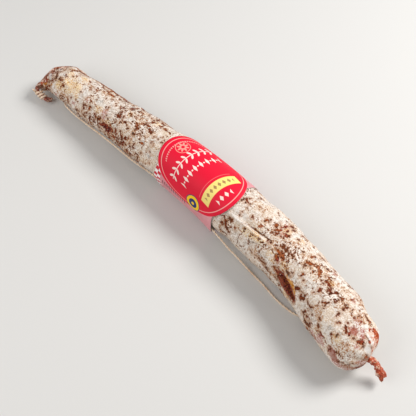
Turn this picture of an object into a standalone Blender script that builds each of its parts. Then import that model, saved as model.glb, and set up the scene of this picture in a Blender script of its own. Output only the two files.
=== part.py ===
# A dry-cured straight sausage lying on a table: one skin with a twisted casing tail at each end,
# a paper band round its middle, and a hanging loop of twine lashed to the left tail.
# +X runs along the sausage to its bare tail, +Z is up, and the bow's hollow side faces -Y.
# The origin is under the middle of the sausage, on the table.
# Lengths are in millimetres, and become metres where the meshes are made.

import math

import bpy
import numpy as np

for old in list(bpy.data.objects):
    bpy.data.objects.remove(old, do_unlink=True)

MM = 0.001
GAP = 0.3

# The skin's sections: x, y, z of the centre, the radius, and the heading in degrees from +X.
SKIN = [
    (-146.4, -20.4, 8.6, 1.5, 34),
    (-146.0, -18.8, 9.0, 2.6, 32),
    (-145.5, -16.6, 9.4, 4.0, 30),
    (-144.8, -13.9, 10.0, 5.5, 28),
    (-143.3, -11.0, 10.5, 7.5, 28),
    (-139.3, -8.6, 11.0, 9.3, 26),
    (-134.4, -6.5, 11.5, 11.2, 20),
    (-129.8, -4.9, 12.2, 12.3, 14),
    (-124.1, -4.1, 12.3, 12.0, 10),
    (-114.7, -3.9, 12.8, 12.8, 8),
    (-101.1, -2.2, 13.1, 13.2, 8),
    (-87.6, -0.7, 13.4, 13.5, 6),
    (-73.8, 0.8, 14.5, 14.7, 6),
    (-60.5, 2.2, 15.1, 15.4, 6),
    (-47.5, 3.7, 15.4, 15.6, 6),
    (-34.3, 5.0, 16.4, 16.1, 4),
    (-9.0, 6.5, 17.3, 16.5, 3),
    (15.2, 7.3, 17.3, 16.5, 2),
    (26.2, 7.8, 16.4, 16.4, 1),
    (38.0, 7.6, 16.7, 17.0, -1),
    (49.4, 7.4, 16.5, 16.8, -2),
    (60.5, 6.9, 16.4, 16.6, -3),
    (71.5, 6.1, 16.1, 16.4, -6),
    (82.4, 4.6, 16.2, 16.5, -9),
    (93.1, 2.7, 16.4, 16.7, -12),
    (103.5, 0.6, 16.8, 17.2, -14),
    (113.5, -2.3, 16.2, 16.4, -14),
    (123.3, -4.4, 15.6, 15.7, -12),
    (128.6, -5.5, 15.4, 13.9, -9),
    (132.2, -5.3, 15.3, 10.6, -4),
    (134.0, -4.9, 15.2, 6.8, 2),
    (134.9, -4.5, 15.2, 3.6, 8),
]
SKIN_RINGS = 96
SKIN_SIDES = 42
RING_CROWDING = 5.0

# What the skin's underside keeps clear of the table: nothing, the band's paper, the crossing twine.
BAND_CLEARANCE = 0.85
BAND_LIFT = (-45.0, -36.0, 20.0, 28.0)
TWINE_CLEARANCE = 2.0
TWINE_LIFT = (86.0, 94.0, 102.0, 110.0)

# Low swellings all over the skin: waves in a stretch of it, waves round it, height, and start.
LUMP_STRETCH = 280.0
LUMPS = [
    (2.3, 2, 0.22, 0.4),
    (4.1, 3, 0.20, 2.1),
    (7.3, 2, 0.14, 4.4),
    (11.0, 4, 0.14, 1.2),
    (17.0, 5, 0.09, 3.3),
]
# Gathers of the casing towards its ties: how many, how deep as a share of the radius, and reach.
LEFT_GATHERS = (6, 0.10, 24.0)
RIGHT_GATHERS = (9, 0.05, 12.0)

# Creases and gashes: start and end as x and degrees round the skin, half width, and height.
CREASE_FADE = 0.12
CREASES = {
    "long_fold": ((14.0, 132.0), (60.0, 118.0), 1.7, 0.7),
    "fold_foot": ((14.0, 124.0), (60.0, 110.0), 1.8, -0.5),
    "right_gash": ((66.0, 142.0), (90.0, 159.0), 2.4, -1.3),
    "gash_lip": ((70.0, 131.0), (86.0, 150.0), 1.4, 0.5),
    "left_gash": ((-94.0, 143.0), (-77.0, 155.0), 2.6, -1.1),
    "left_hollow": ((-107.0, 146.0), (-99.0, 137.0), 2.2, -0.6),
}

# The casing tails: x, y, z and radius. The left one is wound, and the right one ends in a flare.
LEFT_TAIL = [
    (-146.6, -17.8, 8.9, 1.5),
    (-146.6, -20.6, 8.4, 1.4),
    (-145.0, -22.4, 7.5, 1.2),
    (-142.7, -22.7, 6.6, 1.2),
    (-140.5, -22.4, 5.7, 1.2),
    (-138.4, -22.0, 4.8, 1.3),
    (-136.6, -21.3, 4.0, 1.6),
    (-135.8, -19.8, 3.4, 1.4),
]
RIGHT_TAIL = [
    (132.6, -5.2, 15.3, 1.8),
    (135.6, -4.0, 15.0, 1.9),
    (138.0, -3.2, 13.7, 1.9),
    (140.1, -2.9, 12.0, 1.8),
    (141.8, -3.0, 10.2, 2.0),
    (143.6, -3.2, 8.4, 2.5),
    (145.0, -3.4, 7.2, 2.1),
]
TAIL_SIDES = 12
TAIL_RINGS = 20
TAIL_STRANDS = 3
TAIL_RIDGE = 0.16
TAIL_TURNS = 1.5

# The paper band lies a little askew, so its ends stand further right on the far side. On the
# side that faces up, a rounded panel runs out past both ends; it is half an oval each way.
BAND_MIDDLE = (-9.5, 99.0)
BAND_ENDS = (-23.7, 25.9)
BAND_SKEW = (2.4, 14.0)
PANEL_REACH = (31.0, 25.8)
PAPER = 0.4
BAND_FLOOR = 0.05
BAND_SLACK = 0.35
TWINE_PLAY = 0.3
BAND_STATIONS = 10
BAND_SIDES = 64

# The twine: its thickness, and its route from the lashing and back, as x, y and z.
TWINE = 1.3
TWINE_ROUTE = [
    (-145.1, -20.0, 4.5),
    (-144.9, -17.6, 3.4),
    (-143.9, -14.8, 2.2),
    (-141.4, -12.5, 1.1),
    (-137.8, -12.2, 0.7),
    (-133.5, -12.8, 0.7),
    (-130.0, -12.7, 0.8),
    (-127.2, -13.6, 1.8),
    (-124.6, -14.9, 3.5),
    (-120.4, -15.6, 4.4),
    (-114.4, -15.8, 4.9),
    (-106.0, -15.3, 5.2),
    (-97.7, -14.7, 5.7),
    (-78.8, -12.9, 5.7),
    (-60.4, -11.6, 5.5),
    (-48.1, -9.9, 5.4),
    (-37.9, -8.7, 5.3),
    (-20.0, -8.2, 6.2),
    (-2.0, -8.1, 6.9),
    (12.8, -8.9, 7.1),
    (17.0, -9.2, 6.4),
    (22.1, -9.3, 5.5),
    (28.5, -9.7, 4.2),
    (35.0, -9.6, 3.1),
    (44.0, -9.8, 1.9),
    (52.8, -10.0, 1.1),
    (61.5, -10.3, 0.75),
    (70.7, -11.2, 0.7),
    (78.8, -11.0, 0.7),
    (85.9, -9.8, 0.7),
    (92.5, -6.0, 0.7),
    (96.5, 1.0, 0.7),
    (96.0, 7.6, 0.7),
    (91.0, 12.6, 0.7),
    (82.0, 15.2, 0.7),
    (68.0, 16.6, 0.7),
    (50.0, 17.8, 0.75),
    (32.0, 17.6, 0.85),
    (14.0, 16.8, 1.65),
    (-10.0, 15.8, 1.65),
    (-36.0, 14.6, 1.5),
    (-52.0, 13.2, 0.8),
    (-74.0, 10.4, 0.7),
    (-96.0, 8.0, 0.7),
    (-114.0, 5.6, 0.7),
    (-127.0, 4.0, 0.7),
    (-137.0, 1.0, 0.75),
    (-143.6, -5.0, 0.75),
    (-147.0, -11.6, 1.2),
    (-148.6, -17.0, 3.0),
    (-148.2, -20.2, 5.0),
]
TWINE_POINTS = 80

# How finely a curve is measured before points are spread along it.
CURVE_STEPS = 60
LINE_STEPS = 400

# The lashing round the left tail: where it starts and ends along the tail, and its outer radius.
LASHING_SPAN = (0.37, 0.76)
LASHING_RADIUS = 2.7
LASHING_RINGS = 8
LASHING_SIDES = 16


def along(points, parameter):
    """Catmull-Rom curve through points, read at parameter, which counts the points from 0."""
    points = np.asarray(points, float)
    padded = np.vstack([2 * points[0] - points[1], points, 2 * points[-1] - points[-2]])
    first = np.clip(np.floor(parameter).astype(int), 0, len(points) - 2)
    t = (parameter - first)[:, None]
    before, start, end, after = (padded[first + k] for k in range(4))
    bend = 2 * before - 5 * start + 4 * end - after
    twist = 3 * (start - end) + after - before
    return 0.5 * (2 * start + (end - before) * t + bend * t**2 + twist * t**3)


def even_curve(points, count, span=(0, 1), spacing=None):
    """The curve read at count points that lie evenly along it, or as spacing weighs its length."""
    fine = along(points, np.linspace(0, len(points) - 1, CURVE_STEPS * len(points)))
    steps = np.linalg.norm(np.diff(fine[:, :4], axis=0), axis=1)
    if spacing is not None:
        steps = steps / (fine[1:, 3] + spacing)
    length = np.concatenate([[0], np.cumsum(steps)])
    wanted = np.linspace(*span, count) * length[-1]
    return np.column_stack([np.interp(wanted, length, column) for column in fine.T])


def ramp(value, low, high):
    """0 below low, 1 above high, and smooth between."""
    share = np.clip((value - low) / (high - low), 0, 1)
    return share * share * (3 - 2 * share)


def underside(x):
    """The lowest that the skin may reach at x."""
    band = ramp(x, *BAND_LIFT[:2]) * (1 - ramp(x, *BAND_LIFT[2:]))
    twine = ramp(x, *TWINE_LIFT[:2]) * (1 - ramp(x, *TWINE_LIFT[2:]))
    return BAND_CLEARANCE * band + TWINE_CLEARANCE * twine


def relief(x, angle, radius):
    """How far the skin stands out from its round section, for x and the angle round it."""
    turn = 2 * math.pi * x / LUMP_STRETCH
    height = sum(h * np.sin(turn * n + m * angle + start) for n, m, h, start in LUMPS)
    for end, (count, depth, reach) in ((SKIN[0][0], LEFT_GATHERS), (SKIN[-1][0], RIGHT_GATHERS)):
        near = 1 - ramp(np.abs(x - end), 0, reach)
        height = height * (1 - near) + near * depth * radius * np.cos(count * angle + 1)
    for (x1, a1), (x2, a2), half_width, rise in CREASES.values():
        share = np.clip((x - x1) / (x2 - x1), 0, 1)
        middle = np.radians(a1 + (a2 - a1) * share)
        off = np.hypot(x - (x1 + (x2 - x1) * share), radius * (angle - middle))
        fade = np.sin(math.pi * np.clip(share, CREASE_FADE, 1 - CREASE_FADE))
        height = height + rise * fade * np.exp(-(off / half_width) ** 2)
    return height


def skin_rings():
    rings = []
    angles = np.linspace(0, 2 * math.pi, SKIN_SIDES, endpoint=False)
    for x, y, z, radius, heading in even_curve(SKIN, SKIN_RINGS, spacing=RING_CROWDING):
        out = radius + relief(x, angles, radius)
        level = out * np.cos(angles)
        turned = math.radians(heading)
        ring_x = x - level * math.sin(turned)
        ring_y = y + level * math.cos(turned)
        ring_z = np.maximum(z + out * np.sin(angles), underside(ring_x))
        rings.append(np.column_stack([ring_x, ring_y, ring_z]))
    return np.array(rings)


def carried_frames(centres):
    """A side and an up direction for each point of a path, carried along it without twisting."""
    tangents = np.gradient(centres, axis=0)
    tangents /= np.linalg.norm(tangents, axis=1)[:, None]
    up = np.array([0.0, 0.0, 1.0])
    frames = []
    for tangent in tangents:
        up = up - tangent * np.dot(up, tangent)
        up /= np.linalg.norm(up)
        frames.append((np.cross(up, tangent), up))
    return frames


def tube_rings(path, outlines):
    """Rings square to a path; outlines gives each ring's radius at each of its angles."""
    angles = np.linspace(0, 2 * math.pi, outlines.shape[1], endpoint=False)
    rings = []
    for centre, (side, up), outline in zip(path, carried_frames(path), outlines):
        spread = np.outer(outline * np.cos(angles), side) + np.outer(outline * np.sin(angles), up)
        rings.append(centre + spread)
    return np.array(rings)


def tail_rings(points):
    """A twisted tail: a few strands that turn round each other as it goes."""
    path = even_curve(points, TAIL_RINGS)
    angles = np.linspace(0, 2 * math.pi, TAIL_SIDES, endpoint=False)
    turned = np.linspace(0, 2 * math.pi * TAIL_TURNS, TAIL_RINGS)
    ridges = 1 + TAIL_RIDGE * np.cos(TAIL_STRANDS * (angles[None, :] - turned[:, None]))
    return tube_rings(path[:, :3], path[:, 3:4] * ridges)


def stretched_over(tight, distance, away):
    """How far out paper runs that is pulled from a round body over twine at a distance."""
    room = TWINE / 2 + GAP + TWINE_PLAY
    slope = math.acos((tight - room) / distance)
    top = math.atan2(room * math.sin(slope), distance + room * math.cos(slope))
    line = np.where(away < slope, tight / np.cos(np.minimum(slope - away, slope)), 0)
    across = np.maximum(room**2 - (distance * np.sin(away)) ** 2, 0)
    return np.where(away < top, distance * np.cos(away) + np.sqrt(across), line)


def band_end(angle, radius, side):
    """Where the paper ends at an angle: the panel's round end, or else the band's straight one."""
    askew = BAND_SKEW[0] * math.cos(angle - math.radians(BAND_SKEW[1]))
    tilt = BAND_SKEW[0] / radius
    straight = BAND_ENDS[side]
    reach = 0.0
    for step in range(6):
        across = radius * (angle - math.radians(BAND_MIDDLE[1])) - tilt * reach
        oval = max(1 - (across / PANEL_REACH[1]) ** 2, 0)
        reach = math.copysign(PANEL_REACH[0] * math.sqrt(oval), straight)
    return BAND_MIDDLE[0] + askew + (min(straight, reach) if side == 0 else max(straight, reach))


def band_rings(skin_line):
    """The band's outside from its left end to its right, then its inside back again."""
    twine = even_curve(TWINE_ROUTE, LINE_STEPS)
    first_angle = math.radians(BAND_MIDDLE[1]) - math.pi
    angles = first_angle + np.linspace(0, 2 * math.pi, BAND_SIDES, endpoint=False)
    outside, inside = [], []
    middle_radius = np.interp(BAND_MIDDLE[0], skin_line[:, 0], skin_line[:, 3]) + GAP + BAND_SLACK
    ends = [[band_end(angle, middle_radius, side) for angle in angles] for side in (0, 1)]
    for share in np.linspace(0, 1, BAND_STATIONS):
        outer, inner = [], []
        for angle, left, right in zip(angles, *ends):
            x = left + (right - left) * share
            y, z, radius = (np.interp(x, skin_line[:, 0], skin_line[:, k]) for k in (1, 2, 3))
            tight = radius + GAP + BAND_SLACK
            stretch = tight
            for k in np.flatnonzero(np.diff(np.sign(twine[:, 0] - x))):
                off_y, off_z = twine[k, 1] - y, twine[k, 2] - z
                away = abs((angle - math.atan2(off_z, off_y) + math.pi) % (2 * math.pi) - math.pi)
                stretch = max(stretch, stretched_over(tight, math.hypot(off_y, off_z), away))
            for ring, extra in ((outer, PAPER), (inner, 0)):
                lowest = BAND_FLOOR if extra else BAND_FLOOR + PAPER
                level = y + (stretch + extra) * math.cos(angle)
                ring.append((x, level, max(z + (stretch + extra) * math.sin(angle), lowest)))
        outside.append(outer)
        inside.append(inner)
    return np.array(outside + inside[::-1])


def lashing_rings():
    """A sleeve round the left tail, as thick as the twine's turns."""
    path = even_curve(LEFT_TAIL, LASHING_RINGS, span=LASHING_SPAN)[:, :3]
    widest = max(radius for x, y, z, radius in LEFT_TAIL[2:6]) * (1 + TAIL_RIDGE)
    outer = tube_rings(path, np.full((LASHING_RINGS, LASHING_SIDES), LASHING_RADIUS))
    inner = tube_rings(path, np.full((LASHING_RINGS, LASHING_SIDES), widest + GAP))
    return np.concatenate([outer, inner[::-1]])


def add_material(name, colour, roughness):
    material = bpy.data.materials.new(name)
    material.use_nodes = True
    shader = material.node_tree.nodes["Principled BSDF"]
    shader.inputs["Base Color"].default_value = (*colour, 1)
    shader.inputs["Roughness"].default_value = roughness
    shader.inputs["Metallic"].default_value = 0.0
    return material


def add_object(name, data, material):
    data.materials.append(material)
    piece = bpy.data.objects.new(name, data)
    bpy.context.scene.collection.objects.link(piece)
    return piece


def add_rings(name, rings, material, ring_shaped=False):
    """A closed mesh over rings. Its ends are closed with fans, or the last ring joins the first."""
    count, sides = rings.shape[:2]
    points = [tuple(point * MM) for point in rings.reshape(-1, 3)]
    faces = []
    for k in range(count if ring_shaped else count - 1):
        for side in range(sides):
            here, there = k * sides, (k + 1) % count * sides
            after = (side + 1) % sides
            faces.append((here + side, here + after, there + after, there + side))
    if not ring_shaped:
        start, end = len(points), len(points) + 1
        points += [tuple(rings[0].mean(0) * MM), tuple(rings[-1].mean(0) * MM)]
        last = (count - 1) * sides
        for side in range(sides):
            after = (side + 1) % sides
            faces.append((start, after, side))
            faces.append((end, last + side, last + after))
    mesh = bpy.data.meshes.new(name)
    mesh.from_pydata(points, [], faces)
    mesh.shade_smooth()
    return add_object(name, mesh, material)


def fuse(piece, additions):
    """Joins overlapping pieces into one body."""
    group = bpy.data.collections.new(piece.name + "_additions")
    for addition in additions:
        group.objects.link(addition)
    union = piece.modifiers.new("union", "BOOLEAN")
    union.operation = "UNION"
    union.operand_type = "COLLECTION"
    union.collection = group
    union.solver = "EXACT"
    evaluated = piece.evaluated_get(bpy.context.evaluated_depsgraph_get())
    fused = bpy.data.meshes.new_from_object(evaluated)
    piece.modifiers.remove(union)
    piece.data = fused
    for addition in additions:
        bpy.data.objects.remove(addition, do_unlink=True)
    bpy.data.collections.remove(group)


def add_twine(material):
    """A round cord through the route's points, on a smooth curve, with filled ends."""
    curve = bpy.data.curves.new("twine", "CURVE")
    curve.dimensions = "3D"
    curve.bevel_depth = TWINE / 2 * MM
    curve.bevel_resolution = 2
    curve.use_fill_caps = True
    spline = curve.splines.new("POLY")
    spline.points.add(TWINE_POINTS - 1)
    for point, place in zip(spline.points, even_curve(TWINE_ROUTE, TWINE_POINTS)):
        point.co = (*(place * MM), 1)
    return add_object("twine", curve, material)


skin = add_material("mould_bloomed_casing", (0.62, 0.52, 0.44), 0.85)
paper = add_material("red_paper", (0.75, 0.02, 0.04), 0.4)
string = add_material("cream_twine", (0.80, 0.60, 0.38), 0.8)

sausage = add_rings("sausage", skin_rings(), skin)
left_tail = add_rings("left_tail", tail_rings(LEFT_TAIL), skin)
right_tail = add_rings("right_tail", tail_rings(RIGHT_TAIL), skin)
fuse(sausage, [left_tail, right_tail])

skin_line = even_curve(SKIN, LINE_STEPS, spacing=RING_CROWDING)
add_rings("paper_label", band_rings(skin_line), paper, ring_shaped=True)
add_rings("twine_lashing", lashing_rings(), string, ring_shaped=True)
add_twine(string)
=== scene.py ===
# A dry-cured sausage with a mould-bloomed casing, a printed paper band and a hanging loop of twine.
# +X runs along the sausage to its bare tail, +Z is up, and the camera is on the hollow side of the bow.
# Lengths are in millimetres, and become metres where meshes are made.

import math
from functools import partialmethod
from itertools import product

import bpy
import numpy as np
from mathutils import Matrix, Vector


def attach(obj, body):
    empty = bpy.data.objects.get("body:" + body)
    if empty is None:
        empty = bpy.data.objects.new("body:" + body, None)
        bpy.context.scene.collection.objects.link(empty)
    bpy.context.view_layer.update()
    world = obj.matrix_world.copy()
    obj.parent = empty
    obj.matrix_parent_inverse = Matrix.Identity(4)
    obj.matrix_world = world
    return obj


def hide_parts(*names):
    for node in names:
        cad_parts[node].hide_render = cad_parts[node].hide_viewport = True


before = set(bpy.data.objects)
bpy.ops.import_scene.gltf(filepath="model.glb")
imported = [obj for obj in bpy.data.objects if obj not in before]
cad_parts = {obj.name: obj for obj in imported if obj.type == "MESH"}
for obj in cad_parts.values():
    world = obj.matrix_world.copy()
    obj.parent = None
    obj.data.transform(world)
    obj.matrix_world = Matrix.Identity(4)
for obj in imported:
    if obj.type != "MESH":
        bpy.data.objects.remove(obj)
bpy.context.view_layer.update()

MM = 0.001
TURN = 2 * math.pi

# The camera: how far it stands from the point it looks at, and from which side.
LOOK_AT = (-1.8, 2.2, 0.0)
CAMERA_DISTANCE = 505.0
CAMERA_AZIMUTH = 47.0
CAMERA_ELEVATION = 60.0
SENSOR = 36.0
FOCAL_SHARE = 800 / 416

# The skin's sections, as in the solid: x, y, z, radius, and heading in degrees from +X.
SKIN = [
    (-146.4, -20.4, 8.6, 1.5, 34), (-146.0, -18.8, 9.0, 2.6, 32), (-145.5, -16.6, 9.4, 4.0, 30),
    (-144.8, -13.9, 10.0, 5.5, 28), (-143.3, -11.0, 10.5, 7.5, 28), (-139.3, -8.6, 11.0, 9.3, 26),
    (-134.4, -6.5, 11.5, 11.2, 20), (-129.8, -4.9, 12.2, 12.3, 14), (-124.1, -4.1, 12.3, 12.0, 10),
    (-114.7, -3.9, 12.8, 12.8, 8), (-101.1, -2.2, 13.1, 13.2, 8), (-87.6, -0.7, 13.4, 13.5, 6),
    (-73.8, 0.8, 14.5, 14.7, 6), (-60.5, 2.2, 15.1, 15.4, 6), (-47.5, 3.7, 15.4, 15.6, 6),
    (-34.3, 5.0, 16.4, 16.1, 4), (-9.0, 6.5, 17.3, 16.5, 3), (15.2, 7.3, 17.3, 16.5, 2),
    (26.2, 7.8, 16.4, 16.4, 1), (38.0, 7.6, 16.7, 17.0, -1), (49.4, 7.4, 16.5, 16.8, -2),
    (60.5, 6.9, 16.4, 16.6, -3), (71.5, 6.1, 16.1, 16.4, -6), (82.4, 4.6, 16.2, 16.5, -9),
    (93.1, 2.7, 16.4, 16.7, -12), (103.5, 0.6, 16.8, 17.2, -14), (113.5, -2.3, 16.2, 16.4, -14),
    (123.3, -4.4, 15.6, 15.7, -12), (128.6, -5.5, 15.4, 13.9, -9), (132.2, -5.3, 15.3, 10.6, -4),
    (134.0, -4.9, 15.2, 6.8, 2), (134.9, -4.5, 15.2, 3.6, 8),
]
SKIN_RINGS = 560
SKIN_SIDES = 168
RING_CROWDING = 5.0
BAND_CLEARANCE = 0.85
BAND_LIFT = (-45.0, -36.0, 20.0, 28.0)
TWINE_CLEARANCE = 2.0
TWINE_LIFT = (86.0, 94.0, 102.0, 110.0)
LUMP_STRETCH = 280.0
LUMPS = [
    (2.3, 2, 0.22, 0.4), (4.1, 3, 0.20, 2.1), (7.3, 2, 0.14, 4.4), (11.0, 4, 0.14, 1.2),
    (17.0, 5, 0.09, 3.3),
]
LEFT_GATHERS = (6, 0.10, 24.0)
RIGHT_GATHERS = (9, 0.05, 12.0)

# Creases, gashes and cracks: start and end as x and degrees round the skin, half width, and height.
CREASES = {
    "long_fold": ((14.0, 132.0), (54.0, 119.5), 1.1, 0.6),
    "fold_foot": ((14.0, 124.0), (60.0, 110.0), 1.8, -0.5),
    "right_gash": ((66.0, 142.0), (90.0, 159.0), 2.4, -1.3),
    "gash_lip": ((70.0, 131.0), (86.0, 150.0), 1.4, 0.5),
    "left_gash": ((-94.0, 143.0), (-77.0, 155.0), 2.6, -1.1),
    "left_hollow": ((-107.0, 146.0), (-99.0, 137.0), 2.2, -0.6),
    "fold_edge": ((24.0, 127.5), (57.0, 119.0), 0.7, 0.5),
    "slit": ((29.0, 124.0), (53.0, 113.5), 0.5, -1.0),
    "branch": ((36.8, 124.0), (37.6, 150.0), 0.55, -0.45),
    "branch_foot": ((37.6, 150.0), (36.2, 167.0), 0.55, -0.4),
    "small_crack": ((43.0, 139.0), (51.0, 130.0), 0.5, -0.35),
}
CREASE_FADE = 0.12

# Finer relief of the dried casing and its mould: size of the features, and height.
WRINKLES = [(9.0, 0.30), (3.6, 0.20), (1.4, 0.13)]
WRINKLE_SEED = 11
WRINKLE_FULL_RADIUS = 6

LEFT_TAIL = [
    (-146.6, -17.8, 8.9, 1.5), (-146.6, -20.6, 8.4, 1.4), (-145.0, -22.4, 7.5, 1.2),
    (-142.7, -22.7, 6.6, 1.2), (-140.5, -22.4, 5.7, 1.2), (-138.4, -22.0, 4.8, 1.3),
    (-136.6, -21.3, 4.0, 1.6), (-135.8, -19.8, 3.4, 1.4),
]
RIGHT_TAIL = [
    (132.6, -5.2, 15.3, 1.8), (135.6, -4.0, 15.0, 1.9), (138.0, -3.2, 13.7, 1.9), (140.1, -2.9, 12.0, 1.8),
    (141.8, -3.0, 10.2, 2.0), (143.6, -3.2, 8.4, 2.5), (145.0, -3.4, 7.2, 2.1),
]
TAIL_SIDES = 48
TAIL_RINGS = 120
TAIL_STRANDS = 3
TAIL_RIDGE = 0.16
TAIL_TURNS = 1.5
TAIL_ROUGHNESS = 0.3
FRAY_START = 0.82
FRAY_REACH = 2.2
FRAY_SHIFT = 0.6
# Noise on a tail: the size and seed for its ridges and its frays, and how far it runs on from point to point.
RIDGE_NOISE = (1.6, 41)
FRAY_NOISE = (1.1, 42)
TAIL_NOISE_RUN = 3

# The paper band: its middle as x and angle, the x of its straight ends, its skew, and the oval panel.
GAP = 0.3
BAND_MIDDLE = (-9.5, 99.0)
BAND_ENDS = (-23.7, 25.9)
BAND_SKEW = (2.4, 14.0)
PANEL_REACH = (31.0, 25.8)
PAPER = 0.4
BAND_FLOOR = 0.05
BAND_SLACK = 0.35
TWINE_PLAY = 0.3
BAND_STATIONS = 70
BAND_SIDES = 300

TWINE = 1.3
TWINE_ROUTE = [
    (-145.1, -20.0, 4.5), (-144.9, -17.6, 3.4), (-143.9, -14.8, 2.2), (-141.4, -12.5, 1.1),
    (-137.8, -12.2, 0.7), (-133.5, -12.8, 0.7), (-130.0, -12.7, 0.8), (-127.2, -13.6, 1.8),
    (-124.6, -14.9, 3.5), (-120.4, -15.6, 4.4), (-114.4, -15.8, 4.9), (-106.0, -15.3, 5.2),
    (-97.7, -14.7, 5.7), (-78.8, -12.9, 5.7), (-60.4, -11.6, 5.5), (-48.1, -9.9, 5.4), (-37.9, -8.7, 5.3),
    (-20.0, -8.2, 6.2), (-2.0, -8.1, 6.9), (12.8, -8.9, 7.1), (17.0, -9.2, 6.4), (22.1, -9.3, 5.5),
    (28.5, -9.7, 4.2), (35.0, -9.6, 3.1), (44.0, -9.8, 1.9), (52.8, -10.0, 1.1), (61.5, -10.3, 0.75),
    (70.7, -11.2, 0.7), (78.8, -11.0, 0.7), (85.9, -9.8, 0.7), (92.5, -6.0, 0.7), (96.5, 1.0, 0.7),
    (96.0, 7.6, 0.7), (91.0, 12.6, 0.7), (82.0, 15.2, 0.7), (68.0, 16.6, 0.7), (50.0, 17.8, 0.75),
    (32.0, 17.6, 0.85), (14.0, 16.8, 1.65), (-10.0, 15.8, 1.65), (-36.0, 14.6, 1.5), (-52.0, 13.2, 0.8),
    (-74.0, 10.4, 0.7), (-96.0, 8.0, 0.7), (-114.0, 5.6, 0.7), (-127.0, 4.0, 0.7), (-137.0, 1.0, 0.75),
    (-143.6, -5.0, 0.75), (-147.0, -11.6, 1.2), (-148.6, -17.0, 3.0), (-148.2, -20.2, 5.0),
]
PLIES = 2
PLY_PITCH = 5.0
# Each ply's distance from the twine's middle and its radius, as shares of the twine's thickness.
PLY_OFFSET = 0.23
PLY_RADIUS = 0.28
PLY_SIDES = 8
PLY_STEP = 0.4
ROUTE_STEPS = 500
LASHING_SPAN = (0.37, 0.76)
LASHING_RADIUS = 2.7
LASHING_TURNS = 3.2
LASHING_TWINE = 1.3
# The turns start on one side of the tail, lean over towards another, and have a loose end.
LASHING_START = 3.4
LASHING_LEAN = 0.23
LASHING_SLANT = 1.3
LASHING_END = 2.4
LASHING_STEPS = 260
LOOSE_STEPS = 12

CURVE_STEPS = 60
LINE_STEPS = 400
LATTICE = 32


def along(points, parameter):
    """Catmull-Rom curve through points, read at parameter, which counts the points from 0."""
    points = np.asarray(points, float)
    padded = np.vstack([2 * points[0] - points[1], points, 2 * points[-1] - points[-2]])
    first = np.clip(np.floor(parameter).astype(int), 0, len(points) - 2)
    t = (parameter - first)[:, None]
    before, start, end, after = (padded[first + k] for k in range(4))
    bend = 2 * before - 5 * start + 4 * end - after
    twist = 3 * (start - end) + after - before
    return 0.5 * (2 * start + (end - before) * t + bend * t**2 + twist * t**3)


def even_curve(points, count, span=(0, 1), spacing=None):
    """The curve read at count points that lie evenly along it, or as spacing weighs its length."""
    fine = along(points, np.linspace(0, len(points) - 1, CURVE_STEPS * len(points)))
    steps = np.linalg.norm(np.diff(fine[:, :4], axis=0), axis=1)
    if spacing is not None:
        steps = steps / (fine[1:, 3] + spacing)
    length = np.concatenate([[0], np.cumsum(steps)])
    wanted = np.linspace(*span, count) * length[-1]
    return np.column_stack([np.interp(wanted, length, column) for column in fine.T])


def ramp(value, low, high):
    """0 below low, 1 above high, and smooth between."""
    share = np.clip((value - low) / (high - low), 0, 1)
    return share * share * (3 - 2 * share)


def mottle(places, size, seed, octaves=3):
    """Smooth random values of about -1 to 1 at places, with features of a size, from a seeded lattice."""
    lattice = np.random.default_rng(seed).uniform(-1, 1, (LATTICE,) * 3)
    total = np.zeros(places.shape[:-1])
    for octave in range(octaves):
        spot = places / size * 2**octave + 7.7 * octave
        cell = np.floor(spot).astype(int)
        t = spot - cell
        t = t * t * (3 - 2 * t)
        for corner in product((0, 1), repeat=3):
            share = np.where(np.array(corner) == 1, t, 1 - t).prod(-1)
            index = (cell + corner) % LATTICE
            total += share * lattice[index[..., 0], index[..., 1], index[..., 2]] / 2**octave
    return total


# Helpers for objects


def new_mesh(name, points, faces, material):
    """A mesh object at the origin, from points in millimetres."""
    mesh = bpy.data.meshes.new(name)
    mesh.from_pydata([tuple(p) for p in np.asarray(points) * MM], [], [tuple(f) for f in faces])
    mesh.shade_smooth()
    mesh.materials.append(material)
    piece = bpy.data.objects.new(name, mesh)
    bpy.context.scene.collection.objects.link(piece)
    return piece


def ring_faces(count, sides, joined=False):
    """Quads between rings of points, and between the last ring and the first if they are joined."""
    ring = np.arange(count if joined else count - 1)[:, None] * sides
    following = (np.arange(len(ring))[:, None] + 1) % count * sides
    side = np.arange(sides)[None, :]
    after = (side + 1) % sides
    quads = np.stack([ring + side, ring + after, following + after, following + side], -1)
    return quads.reshape(-1, 4).tolist()


def closed_loft(name, rings, material):
    """A closed mesh over rings, with a fan at each end."""
    count, sides = rings.shape[:2]
    points = np.vstack([rings.reshape(-1, 3), rings[0].mean(0), rings[-1].mean(0)])
    faces = ring_faces(count, sides)
    last = (count - 1) * sides
    for side in range(sides):
        after = (side + 1) % sides
        faces.append((count * sides, after, side))
        faces.append((count * sides + 1, last + side, last + after))
    return new_mesh(name, points, faces, material)


def store(piece, name, values):
    """Keeps one number for each point of a piece, for its material to read."""
    layer = piece.data.attributes.new(name, "FLOAT", "POINT")
    padded = np.concatenate([np.ravel(values), np.zeros(len(piece.data.vertices) - np.size(values))])
    layer.data.foreach_set("value", padded.astype(np.float32))


def baked(piece):
    """Turns a curve with modifiers into a plain mesh."""
    evaluated = piece.evaluated_get(bpy.context.evaluated_depsgraph_get())
    mesh = bpy.data.meshes.new_from_object(evaluated)
    name = piece.name
    bpy.data.objects.remove(piece, do_unlink=True)
    mesh.name = name
    plain = bpy.data.objects.new(name, mesh)
    bpy.context.scene.collection.objects.link(plain)
    return plain


# Shader helpers


def linear(level):
    """A picture's colour level, from 0 to 255, as a shader takes it."""
    share = level / 255
    return share / 12.92 if level <= 10 else ((share + 0.055) / 1.055) ** 2.4


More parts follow.
